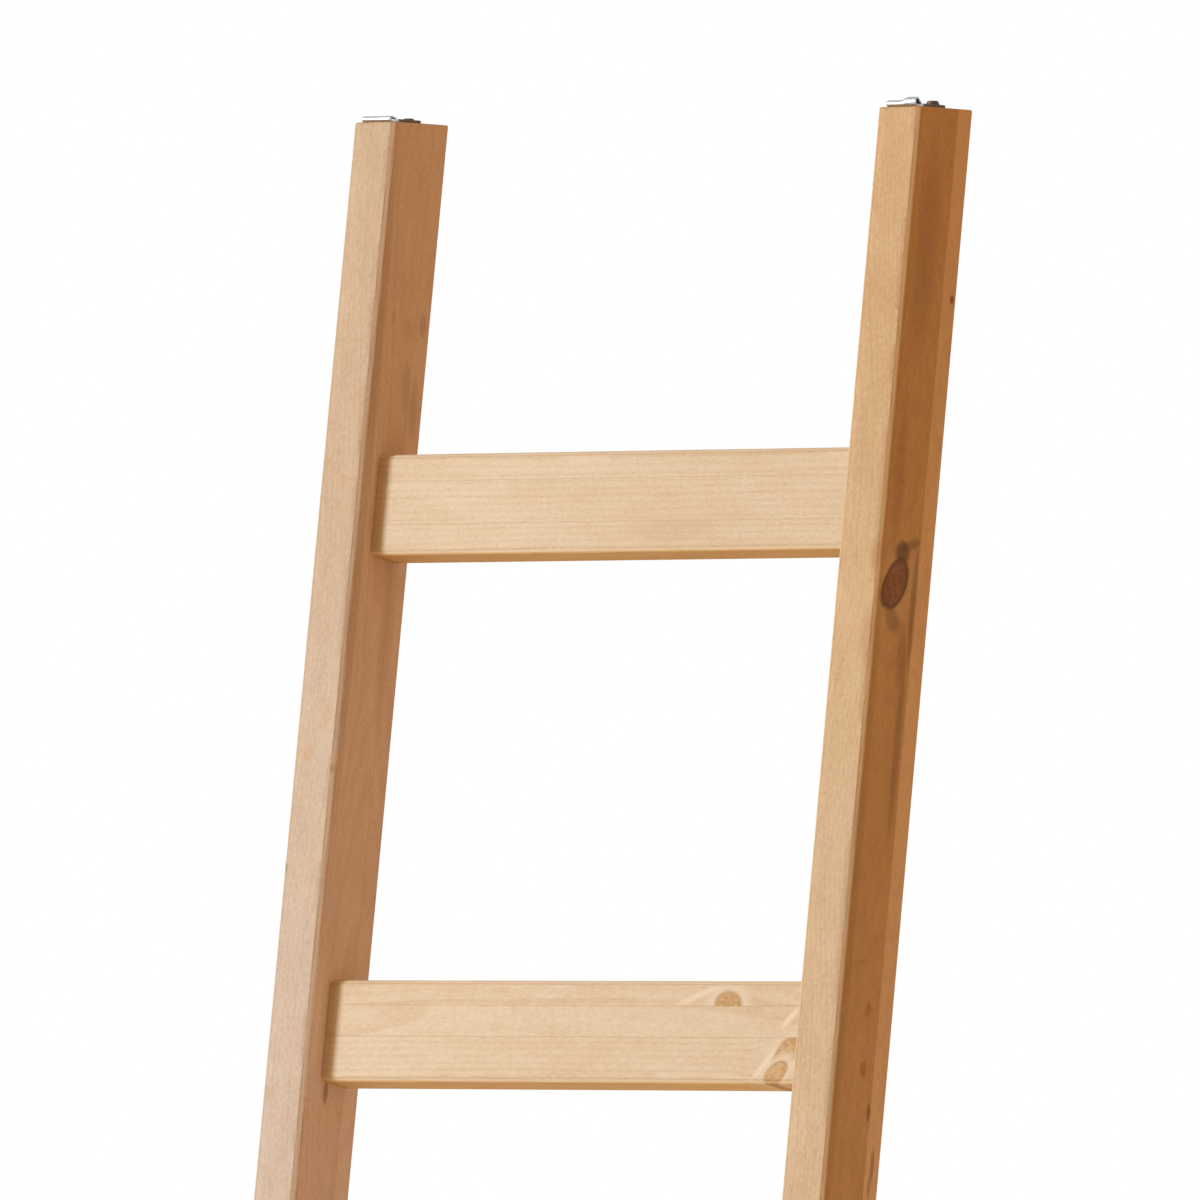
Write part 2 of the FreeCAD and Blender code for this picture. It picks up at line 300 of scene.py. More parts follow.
class Graph:
    """A material with one Principled shader and the nodes that feed it."""

    def __init__(self, name, place=Matrix.Identity(4), **constants):
        self.material = bpy.data.materials.new(name)
        self.material.use_nodes = True
        self.tree = self.material.node_tree
        self.tree.nodes.clear()
        self.shader = self.new("ShaderNodeBsdfPrincipled")
        for socket, value in constants.items():
            self.shader.inputs[socket.replace("_", " ")].default_value = value
        output = self.new("ShaderNodeOutputMaterial")
        self.tree.links.new(self.shader.outputs[0], output.inputs[0])
        self.coordinates = self.new("ShaderNodeTexCoord")
        self.mapping = self.new("ShaderNodeMapping", vector_type="TEXTURE")
        self.feed(self.mapping.inputs["Vector"], self.coordinates.outputs["Object"])
        self.mapping.inputs["Location"].default_value = place.translation
        self.mapping.inputs["Rotation"].default_value = place.to_euler()
        self.mapping.inputs["Scale"].default_value = (MM, MM, MM)

    def new(self, kind, **settings):
        node = self.tree.nodes.new(kind)
        for name, value in settings.items():
            setattr(node, name, value)
        return node

    def feed(self, socket, value):
        if isinstance(value, Num):
            self.tree.links.new(value.socket, socket)
        elif isinstance(value, bpy.types.NodeSocket):
            self.tree.links.new(value, socket)
        else:
            socket.default_value = value

    def split(self, vector):
        node = self.new("ShaderNodeSeparateXYZ")
        self.feed(node.inputs[0], vector)
        return [Num(self, socket) for socket in node.outputs]

    def vector(self, *parts):
        node = self.new("ShaderNodeCombineXYZ")
        for socket, value in zip(node.inputs, parts):
            self.feed(socket, value)
        return node.outputs[0]

    def millimetres(self):
        """The shaded point, along the axes of the material's place."""
        return self.split(self.mapping.outputs[0])

    def facing(self):
        """The surface's normal, along the rack's own axes."""
        return self.split(self.coordinates.outputs["Normal"])

    def noise(self, parts, detail=2.0, roughness=0.5):
        """Noise from 0 to 1, about 0.5, of a vector whose unit is one blob."""
        node = self.new("ShaderNodeTexNoise")
        self.feed(node.inputs["Vector"], self.vector(*parts))
        settings = {"Scale": 1.0, "Detail": detail, "Roughness": roughness, "Distortion": 0.0}
        for name, value in settings.items():
            node.inputs[name].default_value = value
        return Num(self, node.outputs[0])

    def chance(self, number):
        node = self.new("ShaderNodeTexWhiteNoise", noise_dimensions="1D")
        self.feed(node.inputs["W"], number)
        return Num(self, node.outputs[0])

    def mix(self, share, first, second, blend="MIX"):
        node = self.new("ShaderNodeMix", data_type="RGBA", blend_type=blend)
        self.feed(node.inputs[0], share)
        for socket, value in ((node.inputs[6], first), (node.inputs[7], second)):
            self.feed(socket, (*value, 1.0) if isinstance(value, tuple) else value)
        return node.outputs[2]

    def relief(self, height, depth):
        """Bump from a height of 0 to 1 that stands for depth in metres."""
        node = self.new("ShaderNodeBump")
        node.inputs["Strength"].default_value = 1.0
        node.inputs["Distance"].default_value = depth
        self.feed(node.inputs["Height"], height)
        self.feed(self.shader.inputs["Normal"], node.outputs[0])

    def finish(self, colour, roughness):
        self.feed(self.shader.inputs["Base Color"], colour)
        self.feed(self.shader.inputs["Roughness"], roughness)
        return self.material


# ---- pine ------------------------------------------------------------------------------
# In a board, u runs along the grain, a through its thin way and b across its wide way.

GLUE_BLUR = 0.15                 # half the width over which one stave changes to the next
WANDER_A, WANDER_B = 16.0, 3.6   # how far a ring leaves its circle
# How much each thing turns early wood's colour towards late wood's.
RING_SHARE, FIBRE_SHARE, FIBRE_CONTRAST = 0.62, 0.14, 0.24
BLOTCH_SHARE, CLOUD_SHARE, FLECK_SHARE, EVEN_SHARE = 0.45, 0.42, 0.92, 0.24
END_RING_SHARE, END_SHARE = 0.55, 0.25           # on end grain
GRAIN_RELIEF = 0.00012           # metres

# The wood inside a knot, its rings and its rim, for a dead knot and for a live one.
DEAD_KNOT = ((0.35, 0.140, 0.018), (0.15, 0.058, 0.004), (0.12, 0.046, 0.004))
LIVE_KNOT = ((0.62, 0.40, 0.14), (0.40, 0.205, 0.040), (0.38, 0.195, 0.040))


@dataclass
class Knot:
    """Branch stub that runs through a board along a."""
    b: float
    u: float
    wide: float                  # half its size in b
    long: float                  # half its size in u
    slant: float = 0.0           # how far it leans along u for each millimetre of b
    dark: float = 1.0            # over 0.5 it is a dead knot
    stave: tuple = ()            # the lowest and highest b of the stave that it is cut off by
    bend: float = 1.0            # how strongly it pushes the grain aside
    halo: float = 0.0            # how pale the wood round it is

    @property
    def tones(self):
        return DEAD_KNOT if self.dark > 0.5 else LIVE_KNOT

    @property
    def blur(self):
        """How soft its rim is, as a share of its size."""
        return 0.09 if self.dark > 0.5 else 0.16

    def lay(self, b, u):
        """(reach, inside, push): reach is 1 on its rim, inside is 1 in its own stave, and
        push is how far it moves the grain along b."""
        off_b = b - self.b
        off_u = (u - self.u) + off_b * self.slant
        reach = ((off_b / self.wide).squared() + (off_u / self.long).squared()).root()
        inside = 1.0
        if self.stave:
            low, high = self.stave
            inside = (b.step(low - GLUE_BLUR, low + GLUE_BLUR)
                      * b.below(high - GLUE_BLUR, high + GLUE_BLUR))
        near = (off_u / (self.long * 2.4)).squared() + (off_b / (self.wide * 2.2)).squared()
        push = off_b / (off_b.squared() + self.wide * self.wide * 0.3).root()
        push = push * (near * -1).op("EXPONENT") * (self.wide * 0.85 * self.bend) * inside
        return reach, inside, push


def by_stave(b, staves, key):
    """The value that a place's own stave has for the key."""
    value = staves[0][key]
    for before, stave in zip(staves, staves[1:]):
        here = b.step(stave["from"] - GLUE_BLUR, stave["from"] + GLUE_BLUR)
        value = here * (stave[key] - before[key]) + value
    return value


def late_wood_share(g, rings):
    """Late wood, from 0 to 1, from a count of rings: some years have more of it."""
    part = rings.op("FRACT")
    year = g.chance(rings.op("FLOOR"))
    return part.step(0.35, 0.86) * part.below(0.93, 1.0) * (year * 0.75 + 0.35)


def paint_knot(g, colour, knot, reach, inside, early, fleck, blotch):
    """Pale halo, wood with rings of its own and dark rim: (colour, knot share, rim share)."""
    wood_tone, ring_tone, rim_tone = knot.tones
    ragged = reach + (blotch - 0.5) * 0.30 + (fleck - 0.5) * 0.16
    if knot.halo:
        halo = ragged.step(0.98, 1.12) * ragged.below(1.2, 2.3)
        colour = g.mix(halo * inside * knot.halo, colour, early)
    share = ragged.below(1.0 - knot.blur, 1.0 + knot.blur) * inside
    rings = (reach * 4.5 + fleck * 1.6 + blotch).op("FRACT").step(0.1, 0.9)
    ring_share = (rings * 0.30 + (fleck - 0.5) * 3.0 + (blotch - 0.5) * 1.4 + 0.30).clamped()
    colour = g.mix(share * 0.95, colour, g.mix(ring_share, wood_tone, ring_tone))
    rim = ragged.step(0.78, 0.97) * ragged.below(0.98, 1.0 + knot.blur * 2.2) * inside
    return g.mix(rim * (0.30 + 0.35 * knot.dark), colour, rim_tone), share, rim


def paint_stains(g, colour, marks, place, ragged):
    """Each mark is (place, reach, slant, strength, colour), with its place and reach given
    in a, b and u. The slant moves it along u for each millimetre of b."""
    for centre, reach, slant, strength, stain in marks:
        off_a, off_b, off_u = (here - there for here, there in zip(place, centre))
        off_u = off_u + off_b * slant
        gaps = [off / size for off, size in zip((off_a, off_b, off_u), reach)]
        off = gaps[0].squared() + gaps[1].squared() + gaps[2].squared()
        colour = g.mix((off + ragged).step(0.1, 1.2, strength, 0.0), colour, stain)
    return colour


def edge_wear_and_highlight(a, b, half):
    """(edge start line, corner): the line where a round edge starts, and the edge itself, whose
    paleness is partly rubbed wear and partly painted highlight.
    """
    over_a, over_b = a.size() - (half[0] - BOARD_EDGE), b.size() - (half[1] - BOARD_EDGE)
    edge_start_line = (over_a.size().below(0.15, 0.7) * over_b.step(2.2, 2.7)
                 + over_b.size().below(0.15, 0.7) * over_a.step(2.2, 2.7))
    return edge_start_line, over_a.step(0.4, 2.4) * over_b.step(0.4, 2.4)


def pine(name, place, seed, grain, half, staves, drift, early, late, contrast,
         knots=(), marks=(), tints=()):
    """Solid pine. grain is the local axis that runs along the board, and half is half the
    board's section. Staves are glued side by side along b. drift is how far the rings sway
    along a, over which length, and where. Each tint is (axis, low, high, share, colour): it
    multiplies the wood, more and more from low to high along a, b or u."""
    g = Graph(name, place, Specular_IOR_Level=0.25, IOR=1.5)
    x, y, z = g.millimetres()
    a, b, u = (x, y, z) if grain == "z" else (y, z, x)
    facing = g.facing()
    end_on = facing[2 if grain == "z" else 0].size().step(0.75, 0.93)

    # Each stave has its own heart, ring spacing and tone, and knots push the grain aside.
    heart_a, heart_b = by_stave(b, staves, "a"), by_stave(b, staves, "b")
    spacing, tone = by_stave(b, staves, "spacing"), by_stave(b, staves, "tone")
    shift = by_stave(b, staves, "shift")
    swing, period, centre = drift
    sway = ((u - centre) * (2 * math.pi / period)).op("COSINE") * swing
    stubs = []
    bent_b = b
    for knot in knots:
        reach, inside, push = knot.lay(b, u)
        stubs.append((knot, reach, inside))
        bent_b = bent_b - push
    slow = g.noise((a * 0.02 + seed, b * 0.02, u * 0.0045), 1.0)
    quick = g.noise((a * 0.11 + shift, b * 0.11 + seed, u * 0.012), 2.0)
    from_a = a - heart_a + sway + (slow - 0.5) * WANDER_A
    from_b = bent_b - heart_b + (quick - 0.5) * WANDER_B
    rings = (from_a.squared() + from_b.squared()).root() / spacing + shift
    late_wood = late_wood_share(g, rings)

    # Fibres, pores, blotches and slow changes of colour. A blob of noise is about as many
    # millimetres long as 1 divided by its factor.
    fibre = g.noise((a * 1.3, b * 1.3 + shift, u * 0.045 + seed), 4.0, 0.65)
    fleck = g.noise((a * 0.55 + seed, b * 0.55, u * 0.28), 3.0, 0.62)
    blotch = g.noise((a * 0.07 + shift, b * 0.07, u * 0.03 + seed), 3.0, 0.6)
    cloud = g.noise((a * 0.018, b * 0.018 + seed, u * 0.006 + shift), 2.0)
    lateness = (late_wood * (RING_SHARE * contrast)
                + (fibre - 0.5) * (FIBRE_SHARE + FIBRE_CONTRAST * contrast)
                + (blotch - 0.5) * BLOTCH_SHARE + (cloud - 0.5) * CLOUD_SHARE
                + (fleck - 0.5) * FLECK_SHARE + EVEN_SHARE + tone)
    lateness = lateness + end_on * (late_wood * END_RING_SHARE + END_SHARE)
    colour = g.mix(lateness.clamped(), early, late)
    for axis, low, high, share, tint in tints:
        colour = g.mix((a, b, u)[axis].step(low, high, 0.0, share), colour, tint, "MULTIPLY")

    smooth = late_wood * -0.06 + 0.60
    height = late_wood * 0.45 + fibre * 0.45
    for knot, reach, inside in stubs:
        colour, knot_share, rim = paint_knot(g, colour, knot, reach, inside, early, fleck, blotch)
        smooth = smooth - knot_share * 0.10
        height = height - rim * 0.6
    ragged = (blotch - 0.5) * 1.2 + (fibre - 0.5) * 0.8
    colour = paint_stains(g, colour, marks, (a, b, u), ragged)

    # Glue lines, a darker line where each round edge starts, and long edges made a little paler:
    # partly rubbed wear, partly painted highlight.
    for stave in staves[1:]:
        line = (b - stave["from"]).size().below(0.1, 0.45) * (1 - end_on * 0.5)
        colour = g.mix(line * 0.28, colour, late)
        height = height - line * 0.35
    edge_start_line, corner = edge_wear_and_highlight(a, b, half)
    colour = g.mix(edge_start_line * (fleck * 0.5 + 0.1), colour, late)
    # Paler long edges: partly rubbed wear, partly painted highlight.
    rubbed_and_highlight = tuple(min(1, c * 1.20 + 0.12) for c in early)
    colour = g.mix(corner * (blotch + fleck * 0.6).step(0.40, 0.95) * 0.9, colour, rubbed_and_highlight)
    g.relief(height, GRAIN_RELIEF)
    return g.finish(colour, smooth + (fibre - 0.5) * 0.16 + end_on * 0.12)


def stave(start, a, b, spacing, tone, shift):
    """Stave from b = start, with its tree's heart at (a, b), and its ring spacing."""
    return {"from": start, "a": a, "b": b, "spacing": spacing, "tone": tone, "shift": shift}


def side_stain(b, u, rb, ru, strength, colour, slant=0.0):
    """On the rail's side at +X, at b and u. rb and ru are its reaches there."""
    return (RAIL_WIDTH / 2, b, u), (14.0, rb, ru), slant, strength, colour


def front_stain(a, u, ra, ru, strength, colour, depth=6.0):
    """On the rail's front, at a and u, and round its edge as far as the depth."""
    return (a, -RAIL_DEPTH / 2, u), (ra, depth, ru), 0.0, strength, colour


def rung_stain(b, u, rb, ru, strength, colour, slant=0.0):
    """On the rung's front, at b and u."""
    return (-RUNG_THICKNESS / 2, b, u), (12, rb, ru), slant, strength, colour


LEFT_TONES = {"early": (0.637, 0.492, 0.318), "late": (0.393, 0.240, 0.111)}
RIGHT_TONES = {"early": (0.707, 0.513, 0.269), "late": (0.437, 0.247, 0.092)}
RUNG_TONES = {"early": (0.744, 0.639, 0.450), "late": (0.549, 0.378, 0.181)}
TAN, REDDISH, ORANGE = (0.50, 0.29, 0.12), (0.42, 0.17, 0.065), (0.60, 0.36, 0.17)
BROWN, PALE = (0.165, 0.062, 0.016), (0.84, 0.72, 0.53)
CORNER_PAINTED_SHADE = (0.84, 0.76, 0.70)                                # painted shade where the rails shade the rungs' ends

# Tints, as pine() takes them: (axis, low, high, share, colour).
RAIL_SIDE, RUNG_BOTTOM = RAIL_WIDTH / 2, -RUNG_HEIGHT / 2
RUNG_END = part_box("rung_1")[1].x / MM
# Painted light: the rails turn paler and bluer towards their feet, as if under cooler light from
# below.
PAINTED_LIGHT_FOOT = (2, down(60), down(760), 0.85, (1.03, 1.16, 1.42))
# Painted light: the left rail's inner face made paler, standing in for light bounced onto it from
# the right rail.
LEFT_INNER_PAINTED_LIGHT = (0, RAIL_SIDE - 1.8, RAIL_SIDE - 0.2, 1.0, (1.34, 1.30, 1.47))
# Painted shade: the right rail's outer face made darker and more orange.
RIGHT_OUTER_PAINTED_SHADE = (0, RAIL_SIDE - 1.8, RAIL_SIDE - 0.2, 1.0, (1.01, 0.83, 0.64))
RIGHT_REAR_STAVE = (1, 13.2, 15.4, 1.0, (1.20, 1.32, 1.65))
# Painted highlight: the rungs paler along their lower edges.
LOWER_EDGE_PAINTED_HIGHLIGHT = (1, RUNG_BOTTOM + 3.4, RUNG_BOTTOM + 2.6, 0.6, (1.10, 1.16, 1.25))
# Painted shade: the rungs' undersides made darker and more orange.
UNDERSIDE_PAINTED_SHADE = (1, RUNG_BOTTOM + 1.8, RUNG_BOTTOM + 0.5, 1.0, (1.02, 0.86, 0.57))
# Painted shade: each rung darker for its last 8.5 mm at both ends, where the rails shade it.
LEFT_END_PAINTED_SHADE = (2, 8.5 - RUNG_END, 3.5 - RUNG_END, 1.0, CORNER_PAINTED_SHADE)
RIGHT_END_PAINTED_SHADE = (2, RUNG_END - 8.5, RUNG_END - 3.5, 1.0, CORNER_PAINTED_SHADE)

RAIL_SECTION, RUNG_SECTION = (RAIL_WIDTH, RAIL_DEPTH), (RUNG_THICKNESS, RUNG_HEIGHT)
RAIL_LOOK = {"grain": "z", "half": [size / 2 for size in RAIL_SECTION], "contrast": 0.22}
RUNG_LOOK = {"grain": "x", "half": [size / 2 for size in RUNG_SECTION], "contrast": 0.46,
             "tints": [LOWER_EDGE_PAINTED_HIGHLIGHT, UNDERSIDE_PAINTED_SHADE, LEFT_END_PAINTED_SHADE, RIGHT_END_PAINTED_SHADE], **RUNG_TONES}


def left_rail_pine():
    marks = [
        front_stain(2, down(251), 4.0, 6.0, 0.4, ORANGE),
        front_stain(0, down(267), 3.5, 5.0, 0.35, ORANGE),
        front_stain(-5, down(439), 6.0, 10.0, 0.35, ORANGE),
        front_stain(7, down(413), 5.0, 8.0, 0.3, ORANGE),
        front_stain(15, down(450), 2.0, 4.0, 0.55, REDDISH),
        front_stain(-16, down(519), 3.2, 5.0, 0.6, BROWN),
        side_stain(-13.8, down(133), 3.0, 6.0, 0.25, REDDISH),
        side_stain(6.0, down(137), 9.0, 9.0, 0.3, ORANGE),
        side_stain(24.0, down(131), 5.0, 9.0, 0.25, BROWN),
        side_stain(10.0, down(178), 6.0, 20.0, 0.2, BROWN, 0.9),
        side_stain(22.0, down(192), 7.0, 24.0, 0.22, BROWN, 0.9),
        side_stain(-29.0, down(250), 7.0, 260.0, 0.24, BROWN),
        side_stain(14.0, down(330), 10.0, 90.0, 0.16, BROWN),
        # Painted shade: a dark smudge on the inner face just under a rung's end.
        side_stain(-8.0, down(669), 3.4, 9.0, 0.55, BROWN, -0.2),
    ]
    staves = [stave(-35, 62, 6, 3.4, 0.0, 0.3), stave(14.5, -40, 30, 3.8, -0.04, 5.2)]
    return pine("pine_left_rail", rail_place("left"), 3.7, staves=staves, marks=marks,
                drift=(7, 520, down(600)), tints=[PAINTED_LIGHT_FOOT, LEFT_INNER_PAINTED_LIGHT],
                **RAIL_LOOK, **LEFT_TONES)


def right_rail_pine():
    knots = [Knot(-13.5, down(323), 15.9, 15.5, slant=-0.5, halo=0.35)]
    marks = [
        # Round the big knot.
        side_stain(-7.0, down(300), 11.5, 8.5, 0.8, BROWN),
        side_stain(-13.0, down(347), 12.0, 9.0, 0.45, BROWN, 0.3),
        side_stain(4.0, down(293), 13.0, 5.0, 0.5, BROWN, -0.4),
        side_stain(12.0, down(335), 4.5, 45.0, 0.42, BROWN, 0.03),
        side_stain(2.0, down(372), 6.0, 26.0, 0.3, BROWN, 0.05),
        # Long streaks and small marks.
        side_stain(-20.0, down(250), 8.0, 60.0, 0.22, BROWN),
        side_stain(7.0, down(430), 5.0, 75.0, 0.36, BROWN, -0.03),
        side_stain(-12.0, down(90), 16.0, 80.0, 0.2, BROWN),
        side_stain(0.8, down(609), 5.0, 7.0, 0.55, REDDISH),
        side_stain(0.8, down(650), 5.0, 7.0, 0.65, REDDISH),
        side_stain(-30.0, down(560), 6.0, 260.0, 0.2, BROWN),
        side_stain(23.0, down(712), 2.6, 13.0, 0.5, BROWN, 0.1),
        side_stain(21.0, down(727), 2.4, 11.0, 0.4, BROWN, 0.1),
        side_stain(27.5, down(120), 3.0, 3.5, 0.75, BROWN),
        side_stain(12.4, down(677), 3.0, 7.0, 0.6, BROWN),
        front_stain(14, down(306), 6.5, 12.0, 0.5, TAN, 10.0),
        front_stain(13, down(361), 7.0, 22.0, 0.5, TAN, 10.0),
    ]
    staves = [stave(-35, -60, -4, 3.2, 0.05, 0.6), stave(14.5, 44, 24, 4.2, -0.10, 7.9)]
    return pine("pine_right_rail", rail_place("right"), 8.1, staves=staves, knots=knots,
                marks=marks, drift=(8, 420, down(471)),
                tints=[PAINTED_LIGHT_FOOT, RIGHT_OUTER_PAINTED_SHADE, RIGHT_REAR_STAVE],
                **RAIL_LOOK, **RIGHT_TONES)


def rung_1_pine():
    staves = [stave(-35, 6, -150, 4.5, 0.03, 0.1), stave(-14, -12, 120, 5.1, -0.03, 3.1),
              stave(16.0, 20, 150, 5.8, 0.0, 6.4)]
    marks = [rung_stain(-20, 45, 9, 40, 0.2, RUNG_TONES["late"])]
    return pine("pine_rung_1", rung_place(1), 1.3, staves=staves, marks=marks,
                drift=(3, 700, 0), **RUNG_LOOK)


def rung_2_pine():
    staves = [stave(-35, 8, -140, 4.6, 0.0, 0.7), stave(-3.7, -90, 20, 4.9, -0.06, 2.2),
              stave(17.6, 24, -10, 5.5, 0.07, 9.1)]
    top, low = (17.6, 36), (-36, -3.7)
    knots = [Knot(17.8, 126.2, 9.0, 9.6, dark=0.45, stave=top, bend=1.2, halo=0.9),
             Knot(-13.0, 176.0, 9.5, 9.0, slant=-0.5, dark=0.3, stave=low, bend=1.3, halo=0.9),
             Knot(-28.0, 168.0, 8.0, 7.0, slant=-0.5, dark=0.35, stave=low, bend=0.8, halo=0.9)]
    marks = [rung_stain(25, 103, 8, 6.5, 0.6, PALE, -2.2),
             rung_stain(-20, 160, 14, 3.0, 0.75, PALE, -0.8),
             rung_stain(10, 176, 9, 4.0, 0.8, PALE, -0.8)]
    return pine("pine_rung_2", rung_place(2), 5.9, staves=staves, knots=knots, marks=marks,
                drift=(5, 900, 100), **RUNG_LOOK)


def rung_3_pine():
    staves = [stave(-35, -10, 130, 3.4, 0.02, 4.7), stave(3.0, 30, -120, 4.0, -0.04, 1.2)]
    knots = [Knot(-12.0, -88.0, 5.0, 6.0, dark=0.35, halo=0.6)]
    return pine("pine_rung_3", rung_place(3), 11.2, staves=staves, knots=knots,
                drift=(4, 800, -60), **RUNG_LOOK)


def rung_4_pine():
    staves = [stave(-35, 12, -160, 3.5, -0.02, 8.3), stave(-9.0, -40, 60, 3.9, 0.03, 2.9),
              stave(20.0, 10, 140, 3.3, 0.0, 0.4)]
    return pine("pine_rung_4", rung_place(4), 14.6, staves=staves, drift=(4, 760, 40),
                **RUNG_LOOK)


# ---- the other materials -----------------------------------------------------------------

def beech():
    g = Graph("beech_dowel", Specular_IOR_Level=0.4)
    x, y, z = g.millimetres()
    fibre = g.noise((x * 0.05, y * 1.5, z * 1.5), 3.0, 0.6)
    fleck = g.noise((x * 0.4, y * 2.5, z * 2.5), 2.0, 0.5).step(0.56, 0.64)
    colour = g.mix(fibre.step(0.3, 0.7), (0.63, 0.40, 0.24), (0.50, 0.29, 0.16))
    colour = g.mix(fleck * 0.5, colour, (0.33, 0.17, 0.085))
    g.relief(fibre, 0.00015)
    return g.finish(colour, fibre * 0.2 + 0.55)


def steel(name, light, dark, rough, scale, painted_shade_from=None):
    """Plated steel: crystals of slightly different greys, fine scratches and dull spots. Behind a
    place in y, if one is given, it is dark brown and rougher: painted shade and a painted
    reflection of the wood."""
    g = Graph(name, Metallic=1.0)
    x, y, z = g.millimetres()
    crystal = g.new("ShaderNodeTexVoronoi")
    g.feed(crystal.inputs["Vector"], g.vector(x * scale, y * scale, z * scale))
    crystal.inputs["Scale"].default_value = 1.0
    grey = g.split(crystal.outputs["Color"])[0]
    scratch = g.noise((x * 1.6 + y * 0.5, y * 0.3, z * 1.6), 3.0, 0.6)
    dull = g.noise((x * 0.25, y * 0.25, z * 0.25), 4.0, 0.6).step(0.48, 0.7)
    colour = g.mix(grey * 0.3 + scratch * 0.35, light, dark)
    colour = g.mix(dull * 0.3, colour, tuple(c * 0.7 for c in dark))
    gloss = grey * 0.10 + dull * 0.12 + scratch * 0.1 + rough
    if painted_shade_from is not None:
        # Painted shade and painted reflection: dark brown behind that place.
        rear_painted_shade = (y + (dull - 0.5) * 1.5).step(painted_shade_from, painted_shade_from + 3)
        colour = g.mix(rear_painted_shade * 0.9, colour, (0.14, 0.070, 0.032))
        gloss = gloss + rear_painted_shade * 0.22
    g.relief(scratch, 0.000004)
    return g.finish(colour, gloss)


def rubber():
    g = Graph("pad_rubber", Specular_IOR_Level=0.3)
    x, y, z = g.millimetres()
    speckle = g.noise((x * 1.8, y * 1.8, z * 1.8), 3.0, 0.6)
    dust = g.noise((x * 0.12, y * 0.12, z * 0.12), 3.0, 0.6).step(0.4, 0.75)
    colour = g.mix(speckle.step(0.35, 0.7), (0.022, 0.021, 0.020), (0.045, 0.043, 0.041))
    colour = g.mix(dust * 0.35, colour, (0.16, 0.145, 0.125))
    g.relief(speckle, 0.0003)
    return g.finish(colour, speckle * 0.2 + 0.65)


def floor_paint():
    """Cream paint, which looks pale grey although the light on it is warm."""
    g = Graph("floor_paint", Specular_IOR_Level=0.2, Emission_Color=(0.25, 0.40, 0.52, 1.0))
    x, y, z = g.millimetres()
    cloud = g.noise((x * 0.002, y * 0.002, z), 2.0)
    seen = g.new("ShaderNodeLightPath").outputs["Is Camera Ray"]
    g.feed(g.shader.inputs["Emission Strength"], seen)
    return g.finish(g.mix(cloud, (0.78, 0.70, 0.58), (0.82, 0.74, 0.62)), cloud * 0.1 + 0.7)


# ---- hanger plates and screws -------------------------------------------------------------

LIP_ROWS, FOLD_ROWS, FLAT_ROWS, STRIP_COLUMNS = 10, 16, 14, 14
LIP_SHARE = 0.99                 # the lip ends just short of its nominal length
REAR_ROWS = (3.9, 3.5, 3.0, 2.4, 1.8, 1.2, 0.7, 0.3, 0.1, 0.0)   # round the cut corners
STRIP_EDGE = 0.3                 # radius of the sheet's edges, as a share of its thickness
EDGE_MIDDLE = 0.29               # 1 - sin 45 degrees: how far in the middle of that round is
SHANK_ROWS, DOME_ROWS, SPOKES = 110, 26, 48


def plate_path(length):
    """Middle line of the folded sheet from lip to rear: (y, z, share of the loop's top)."""
    radius = (LOOP_GAP + SHEET) / 2
    fold = radius + SHEET / 2
    bend = LEAF_LENGTH - LIP_LENGTH
    path = []
    for step in range(LIP_ROWS + 1):
        reach = LIP_LENGTH * LIP_SHARE * (1 - step / LIP_ROWS)
        y = bend + reach * math.cos(LIP_DROP)
        path.append((y, fold + radius - reach * math.sin(LIP_DROP), 1.0))
    path.append(((bend + fold) / 2, fold + radius, 1.0))
    for step in range(FOLD_ROWS + 1):
        angle = math.radians(90 + 180 * step / FOLD_ROWS)
        y, z = fold + radius * math.cos(angle), fold + radius * math.sin(angle)
        path.append((y, z, 1 - step / FOLD_ROWS))
    rear = [length - gap for gap in REAR_ROWS]
    flat = [fold + (rear[0] - fold) * step / FLAT_ROWS for step in range(1, FLAT_ROWS)]
    return path + [(y, SHEET / 2, 0.0) for y in flat + rear]


def strip_ring(half):
    """Section of the sheet, its edges rounded: (across, through)."""
    edge = SHEET * STRIP_EDGE
    side = [(half - edge, SHEET / 2),
            (half - edge * EDGE_MIDDLE, SHEET / 2 - edge * EDGE_MIDDLE),
            (half, SHEET / 2 - edge),
            (half, edge - SHEET / 2),
            (half - edge * EDGE_MIDDLE, edge * EDGE_MIDDLE - SHEET / 2)]
    top = [(-half + edge + (half - edge) * 2 * k / STRIP_COLUMNS, SHEET / 2)
           for k in range(STRIP_COLUMNS)]
    upper = top + side
    return upper + [(-x, -t) for x, t in upper]


def loop_lift(side, x, share, near_fold):
    """How far the loop stands off the plate's path: the right one's outer end is bent up."""
    if side == "right":
        return share * near_fold * (LOOP_BENT * smoothstep(0.0, 4.5, x) + LOOP_OPEN)
    return share * near_fold * LOOP_WAVE * noise.noise(Vector((x / 7, 3, 1)))


